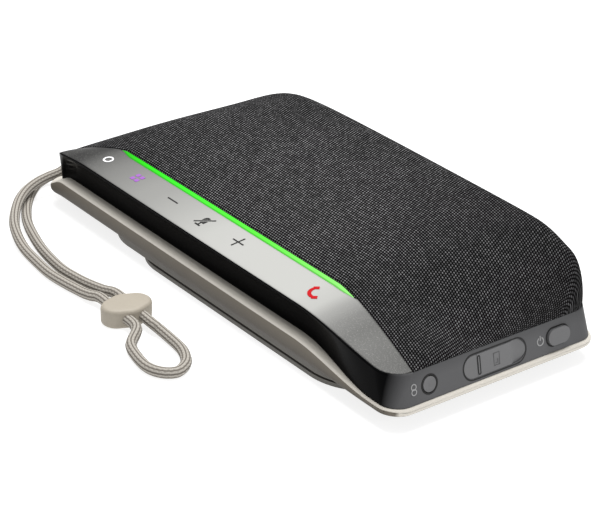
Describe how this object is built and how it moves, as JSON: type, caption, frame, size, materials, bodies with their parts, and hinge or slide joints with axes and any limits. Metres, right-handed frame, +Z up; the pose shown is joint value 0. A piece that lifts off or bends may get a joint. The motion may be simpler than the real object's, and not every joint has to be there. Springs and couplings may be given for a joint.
{
  "type": "conference speakerphone",
  "caption": "Low fabric-topped conference speakerphone with a touch strip and light bar, end keys, a covered charging port, a raised foot and a wrist lanyard with a slider",
  "frame": {"origin": "centre of the body's outline seen from above, on the table under the foot", "axes": "X along the length towards the end with the keys and the port, -Y to the front with the touch strip, Z up"},
  "size_m": [0.1929, 0.1163, 0.0384],
  "materials": {
    "pad_rubber": "matt, fine grain",
    "boot_beige": "soft-touch warm grey, matt",
    "gland_black": "matt",
    "case_black": "moulded",
    "gasket_foam": "foam",
    "band_satin": "gloss black along the front, satin grey at the ends",
    "grille_black": "moulded, slotted",
    "cover_fabric": "charcoal woven acoustic cloth",
    "strip_silver": "satin silver-grey",
    "light_green": "lit translucent bar",
    "mark_ink": "printed and backlit",
    "mark_white": "printed",
    "board_green": "solder mask",
    "key_grey": "satin",
    "flap_grey": "satin soft flap",
    "switch_metal": "tinned",
    "chip_black": "moulded",
    "cell_wrap": "shrink wrap",
    "basket_steel": "black steel",
    "magnet_steel": "zinc-plated",
    "cone_black": "pressed pulp, dark",
    "surround_rubber": "soft",
    "mic_can": "soft boot with a small can",
    "screw_steel": "zinc-plated",
    "cord_braid": "braided cord",
    "slider_rubber": "soft-touch, matt"
  },
  "bodies": {
    "speaker": {"foot_pad": "pad_rubber", "foot_plate": "boot_beige", "base_boot": "boot_beige", "cable_gland": "gland_black", "lower_case": "case_black", "case_gasket": "gasket_foam", "side_band": "band_satin", "speaker_box": "case_black", "grille_plate": "grille_black", "fabric_cover": "cover_fabric", "strip_carrier": "case_black", "touch_strip": "strip_silver", "light_bar": "light_green", "strip_marks": "mark_ink", "touch_board": "board_green", "led_board": "board_green", "key_board": "board_green", "key_switches": "switch_metal", "band_marks": "mark_white", "port_tab": "flap_grey", "usb_socket": "switch_metal", "main_board": "board_green", "board_parts": "chip_black", "battery_pack": "cell_wrap", "battery_tray": "case_black", "driver_basket": "basket_steel", "driver_magnet": "magnet_steel", "driver_surround": "surround_rubber", "radiator_frame_left": "basket_steel", "radiator_surround_left": "surround_rubber", "radiator_frame_right": "basket_steel", "radiator_surround_right": "surround_rubber", "mic_left": "mic_can", "mic_middle": "mic_can", "mic_right": "mic_can", "board_screws": "screw_steel", "case_screws": "screw_steel", "driver_screws": "screw_steel", "lanyard_clamp": "case_black", "lanyard_cord": "cord_braid"},
    "pair_key": {"pair_button": "key_grey"},
    "power_key": {"power_button": "key_grey"},
    "port_flap": {"port_cover": "flap_grey"},
    "slider": {"cord_slider": "slider_rubber"},
    "cone": {"driver_cone": "cone_black"},
    "left_radiator": {"radiator_left": "cone_black"},
    "right_radiator": {"radiator_right": "cone_black"}
  },
  "joints": [
    {"name": "pair_press", "type": "slide", "parent": "speaker", "child": "pair_key", "axis": [-0.9759, 0, -0.218], "range_m": [0, 0.0005], "stiffness_N_per_m": 3000},
    {"name": "power_press", "type": "slide", "parent": "speaker", "child": "power_key", "axis": [-0.9759, 0, -0.218], "range_m": [0, 0.0005], "stiffness_N_per_m": 3000},
    {"name": "flap_swing", "type": "hinge", "parent": "speaker", "child": "port_flap", "pos_m": [0.08909, -0.0077, 0.0119], "axis": [0.218, 0, -0.9759], "range_deg": [0, 100]},
    {"name": "slider_slide", "type": "slide", "parent": "speaker", "child": "slider", "axis": [0.9976, -0.0698, 0], "range_m": [-0.004, 0.004]},
    {"name": "cone_travel", "type": "slide", "parent": "speaker", "child": "cone", "axis": [0, 0, 1], "range_m": [-0.0015, 0.0015], "stiffness_N_per_m": 2000},
    {"name": "left_radiator_travel", "type": "slide", "parent": "speaker", "child": "left_radiator", "axis": [0, 0, 1], "range_m": [-0.002, 0.002], "stiffness_N_per_m": 1500},
    {"name": "right_radiator_travel", "type": "slide", "parent": "speaker", "child": "right_radiator", "axis": [0, 0, 1], "range_m": [-0.002, 0.002], "stiffness_N_per_m": 1500}
  ]
}
